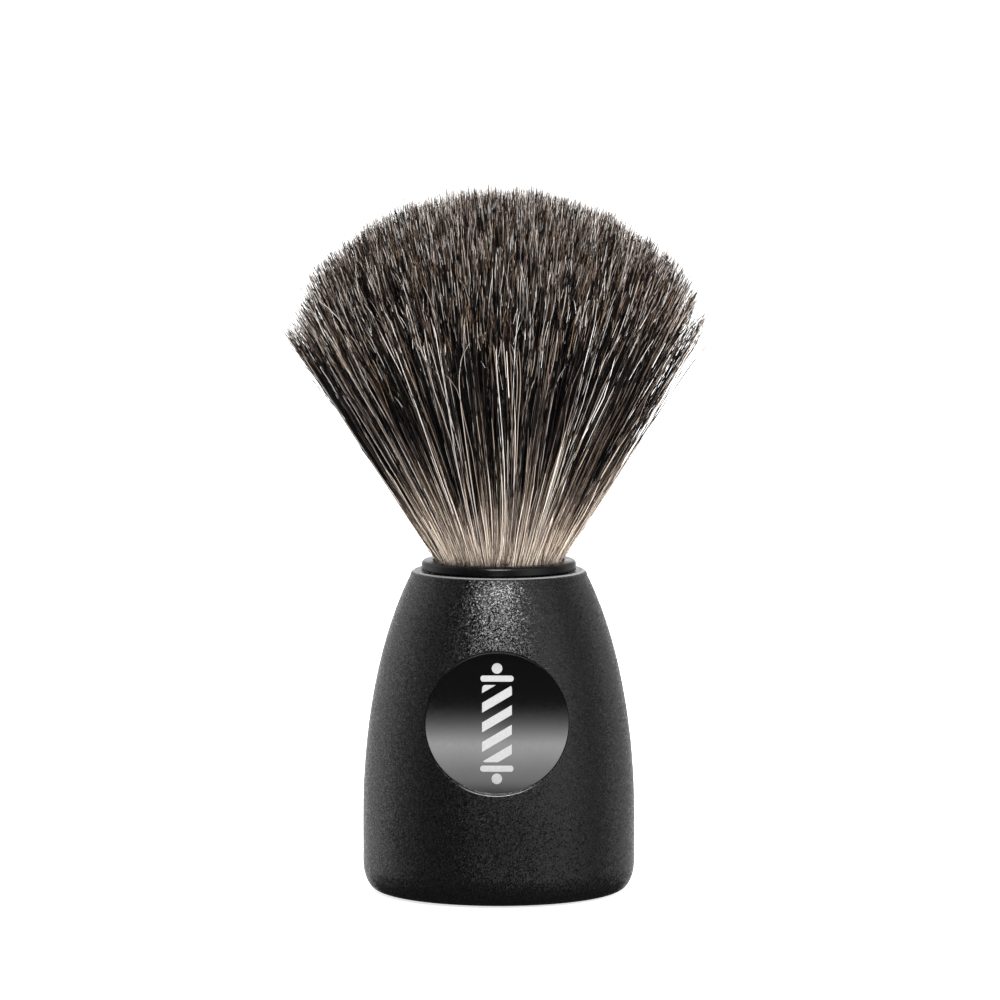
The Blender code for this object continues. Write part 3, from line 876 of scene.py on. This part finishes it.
def strand_mesh(rng, path, steps):
    """Tapered three-sided tubes round the paths. Returns every strand's points and one strand's faces."""
    count, rings = path.shape[0], path.shape[1]
    along = np.gradient(path, axis=1)
    along /= np.linalg.norm(along, axis=2)[:, :, None]
    across = np.cross(along, rng.normal(size=(count, 1, 3)))
    across /= np.linalg.norm(across, axis=2)[:, :, None]
    other = np.cross(along, across)
    places = np.concatenate([steps[:, :1], steps], axis=1)
    size = STRAND_RADIUS * np.clip(rng.normal(1.0, 0.2, count), 0.6, 1.4)
    radius = size[:, None] * np.interp(places, TAPER_PLACES, TAPER)
    body = rings - 1
    angles = 2.0 * math.pi * np.arange(STRAND_SIDES) / STRAND_SIDES
    circle = (
        across[:, :body, None, :] * np.cos(angles)[None, None, :, None]
        + other[:, :body, None, :] * np.sin(angles)[None, None, :, None]
    )
    tube = path[:, :body, None, :] + circle * radius[:, :body, None, None]
    points = np.concatenate([tube.reshape(count, body * STRAND_SIDES, 3), path[:, -1:, :]], axis=1)
    pattern = []
    for ring in range(body - 1):
        for side in range(STRAND_SIDES):
            after = (side + 1) % STRAND_SIDES
            low, high = ring * STRAND_SIDES, (ring + 1) * STRAND_SIDES
            pattern.append(([low + side, low + after, high + after, high + side], ring))
    last = (body - 1) * STRAND_SIDES
    for side in range(STRAND_SIDES):
        pattern.append(([last + side, last + (side + 1) % STRAND_SIDES, body * STRAND_SIDES], body - 1))
    pattern.append((list(range(STRAND_SIDES - 1, -1, -1)), 0))
    return points, pattern


def hair_piece(name, points, pattern, tones, looks):
    """One part of the knot as a mesh of whole strands. pattern holds each face's corners and its ring."""
    count, per_strand = points.shape[0], points.shape[1]
    starts = np.arange(count) * per_strand
    corner_list, sizes, slot_list = [], [], []
    for corners, ring in pattern:
        corner_list.append(starts[:, None] + np.array(corners)[None, :])
        sizes.append(np.full(count, len(corners)))
        slot_list.append(tones[:, ring])
    corners = np.concatenate([part.ravel() for part in corner_list])
    sizes = np.concatenate(sizes)
    slots = np.concatenate(slot_list)
    mesh = bpy.data.meshes.new(name)
    mesh.vertices.add(count * per_strand)
    mesh.vertices.foreach_set("co", points.astype(np.float32).ravel())
    mesh.loops.add(len(corners))
    mesh.loops.foreach_set("vertex_index", corners.astype(np.int32))
    mesh.polygons.add(len(sizes))
    mesh.polygons.foreach_set("loop_start", np.concatenate([[0], np.cumsum(sizes)[:-1]]).astype(np.int32))
    mesh.polygons.foreach_set("material_index", slots.astype(np.int32))
    for look in looks:
        mesh.materials.append(look)
    mesh.update(calc_edges=True)
    mesh.shade_smooth()
    made = bpy.data.objects.new(name, mesh)
    bpy.context.scene.collection.objects.link(made)
    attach(made, "root")
    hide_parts("hair_knot")


def hair():
    """The whole knot, in pieces cut like slices of a cake."""
    rng = np.random.default_rng(SEED)
    path, steps, length, share, lock = strand_paths(rng)
    tones = strand_tones(rng, steps, length, share, lock)
    points, pattern = strand_mesh(rng, path, steps)
    looks = hair_materials()
    turn = np.arctan2(path[:, 1, 1], path[:, 1, 0])
    slice_of = ((turn + math.pi) / (2.0 * math.pi) * HAIR_PIECES).astype(int) % HAIR_PIECES
    for index in range(HAIR_PIECES):
        chosen = slice_of == index
        hair_piece(f"hair_slice_{index + 1}", points[chosen], pattern, tones[chosen], looks)


# ---------------------------------------------------------------- pieces kept from the CAD

def finish_cad_nodes():
    """Gives every CAD node that stays its own worked material."""
    looks = {
        "collar_adhesive": mottled(
            "epoxy_layer", (0.55, 0.47, 0.3), (0.68, 0.6, 0.42), 0.3, 700.0, 0.02 * MM
        ),
        "knot_resin_plug": mottled(
            "cast_resin", (0.3, 0.16, 0.05), (0.46, 0.27, 0.1), 0.2, 300.0, 0.02 * MM
        ),
        "knot_binding_thread": mottled(
            "waxed_linen", (0.5, 0.44, 0.33), (0.75, 0.69, 0.56), 0.75, 2200.0, 0.05 * MM,
            stretch=(1.0, 1.0, 4.0)
        ),
        "badge_adhesive_pad": mottled(
            "foam_tape", (0.5, 0.5, 0.48), (0.66, 0.66, 0.64), 0.9, 2600.0, 0.05 * MM
        ),
        "ballast_slug": mottled(
            "turned_steel", (0.42, 0.42, 0.43), (0.56, 0.56, 0.57), 0.35, 900.0, 0.01 * MM,
            metallic=1.0, stretch=(0.2, 0.2, 6.0)
        ),
        "ballast_adhesive": mottled(
            "white_glue", (0.6, 0.58, 0.5), (0.75, 0.73, 0.66), 0.45, 600.0, 0.03 * MM
        ),
        "base_cap": eroded_plastic("base_cap_plastic", (0.016, 0.016, 0.0165), 0.5, 3000.0, 0.03 * MM),
        "foot_pad": mottled(
            "foam_rubber", (0.018, 0.018, 0.018), (0.04, 0.04, 0.04), 0.9, 2400.0, 0.08 * MM
        ),
    }
    for node, look in looks.items():
        mesh_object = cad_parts[node]
        for slot in mesh_object.material_slots:
            slot.material = look


# ---------------------------------------------------------------- studio

def camera():
    """The photograph's viewpoint: a long lens a little above the brush, looking slightly down."""
    data = bpy.data.cameras.new("camera")
    data.lens = CAMERA_LENS
    data.sensor_width = SENSOR_WIDTH
    data.clip_start = 0.01
    made = bpy.data.objects.new("camera", data)
    made.location = CAMERA_PLACE
    aim = Vector(CAMERA_TARGET) - Vector(CAMERA_PLACE)
    made.rotation_euler = aim.to_track_quat("-Z", "Y").to_euler()
    bpy.context.scene.collection.objects.link(made)
    bpy.context.scene.camera = made


def emission(name, strength):
    """A plain white glowing material for a studio card."""
    made = bpy.data.materials.new(name)
    made.use_nodes = True
    nodes, links = made.node_tree.nodes, made.node_tree.links
    nodes.clear()
    glow = nodes.new("ShaderNodeEmission")
    glow.inputs["Color"].default_value = (*WHITE, 1.0)
    glow.inputs["Strength"].default_value = strength
    output = nodes.new("ShaderNodeOutputMaterial")
    links.new(glow.outputs["Emission"], output.inputs["Surface"])
    return made


def card(name, corners, look, faces=((0, 1, 2, 3),)):
    """A studio card that only reflections see."""
    mesh = bpy.data.meshes.new(name)
    mesh.from_pydata(corners, [], faces)
    mesh.materials.append(look)
    made = bpy.data.objects.new(name, mesh)
    bpy.context.scene.collection.objects.link(made)
    made.visible_camera = False
    made.visible_diffuse = False
    made.visible_shadow = False
    made.visible_transmission = False
    return made


def upright_card(name, distance, half_width, low, high, look):
    """A card square to the Y axis in front of the brush."""
    corners = [(-half_width, -distance, low), (half_width, -distance, low),
               (half_width, -distance, high), (-half_width, -distance, high)]
    card(name, corners, look)


def area_light(name, place, size, power, reflected=True):
    """A soft light aimed at the brush. Where a card or the ring stands for it, it isn't reflected itself."""
    data = bpy.data.lights.new(name, "AREA")
    data.shape = "RECTANGLE"
    data.size, data.size_y = size
    data.energy = power
    made = bpy.data.objects.new(name, data)
    made.location = place
    aim = Vector(LIGHT_TARGET) - Vector(place)
    made.rotation_euler = aim.to_track_quat("-Z", "Y").to_euler()
    made.visible_glossy = reflected
    bpy.context.scene.collection.objects.link(made)


def facing_card(name, place, size, look):
    """A card at a place, turned to face the brush."""
    turn = (Vector(LIGHT_TARGET) - Vector(place)).to_track_quat("-Z", "Y")
    half_width, half_height = size[0] / 2.0, size[1] / 2.0
    signs = ((-1, -1), (1, -1), (1, 1), (-1, 1))
    middle = Vector(place)
    corners = [tuple(middle + turn @ Vector((x * half_width, y * half_height, 0.0))) for x, y in signs]
    card(name, corners, look)


def level_square(reach, height):
    """The corners of a level square round the axis."""
    return [(x * reach, y * reach, height) for x, y in ((-1, -1), (1, -1), (1, 1), (-1, 1))]


def surroundings():
    """An even white world and a pale floor, which glows a little so that it looks white."""
    world = bpy.data.worlds.new("studio_white")
    world.use_nodes = True
    background = world.node_tree.nodes["Background"]
    background.inputs["Color"].default_value = (*WHITE, 1.0)
    background.inputs["Strength"].default_value = 1.15
    bpy.context.scene.world = world
    bpy.context.scene.view_settings.view_transform = "Standard"

    mesh = bpy.data.meshes.new("floor")
    mesh.from_pydata(level_square(FLOOR_REACH, 0.0), [], [(0, 1, 2, 3)])
    floor_look = new_material("pale_floor", (0.92, 0.92, 0.92), 0.9, specular=0.0)
    shader = floor_look.node_tree.nodes["Principled BSDF"]
    shader.inputs["Emission Color"].default_value = (*WHITE, 1.0)
    shader.inputs["Emission Strength"].default_value = 0.7
    mesh.materials.append(floor_look)
    floor = bpy.data.objects.new("floor", mesh)
    bpy.context.scene.collection.objects.link(floor)
    floor.visible_glossy = False


def studio():
    """Soft boxes in front, above and at both sides, and what shines in the brush besides them."""
    surroundings()
    area_light("soft_box_front", FRONT_PLACE, FRONT_SIZE, 2.1, reflected=False)
    facing_card("card_soft_box", FRONT_PLACE, FRONT_SIZE, emission("soft_box_glow", 20.0))
    area_light("soft_box_top", (0.15, 0.4, 1.25), (1.0, 1.0), 17.0)
    area_light("soft_box_left", (-1.1, -0.5, 0.5), SIDE_SIZE, 1.0, reflected=False)
    area_light("soft_box_right", (1.1, -0.5, 0.5), SIDE_SIZE, 11.0, reflected=False)
    ring_of_light()
    badge_reflection()


def graded_emission(name, readings, low, high, turning):
    """A glowing material that follows readings, pairs of place and strength, from low to high.

    A place is a height in metres, or, when turning, a compass angle in degrees.
    """
    strongest = max(strength for _, strength in readings)
    made = emission(name, strongest)
    nodes, links = made.node_tree.nodes, made.node_tree.links
    if turning:
        place = nodes.new("ShaderNodeTexCoord")
        compass = nodes.new("ShaderNodeTexGradient")
        compass.gradient_type = "RADIAL"
        links.new(place.outputs["Object"], compass.inputs["Vector"])
        share = compass.outputs["Fac"]
    else:
        share = height_share(made, low, high)
    stops = [((at - low) / (high - low), strength / strongest) for at, strength in readings]
    glow = next(node for node in nodes if node.type == "EMISSION")
    links.new(ramp(made, share, stops), glow.inputs["Color"])
    return made


def ring_of_light():
    """What shines in the brush besides the lights: a round wall that glows by compass angle.

    It is dark in front, grey at the sides and bright behind. A dark square closes it below.
    """
    columns = 96
    points, faces = [], []
    for column in range(columns):
        turn = 2.0 * math.pi * column / columns
        x, y = RING_DISTANCE * math.cos(turn), RING_DISTANCE * math.sin(turn)
        points += [(x, y, height) for height in (RING_LOW, RING_HIGH)]
        after = 2 * ((column + 1) % columns)
        faces.append((2 * column, after, after + 1, 2 * column + 1))
    look = graded_emission("ring_glow", RING_GLOW, -180.0, 180.0, True)
    wall = card("ring_of_light", points, look, faces)
    wall.rotation_euler[2] = math.radians(-90.0)
    card("dark_under", level_square(RING_DISTANCE, RING_LOW), emission("dark_glow", 0.04))


def badge_reflection():
    """The cards that the badge mirrors: a bright band that fades to black above, and a low one."""
    low, high = BADGE_GLOW[0][0], BADGE_GLOW[-1][0]
    look = graded_emission("badge_glow", BADGE_GLOW, low, high, False)
    upright_card("card_badge", 1.0, 0.5, low, high, look)
    upright_card("card_low_front", 1.3, 0.22, -0.34, -0.1, emission("low_glow", 1.0))


studio()
camera()
handle_shell()
knot_collar()
badge_disc()
badge_emblem()
hair()
finish_cad_nodes()
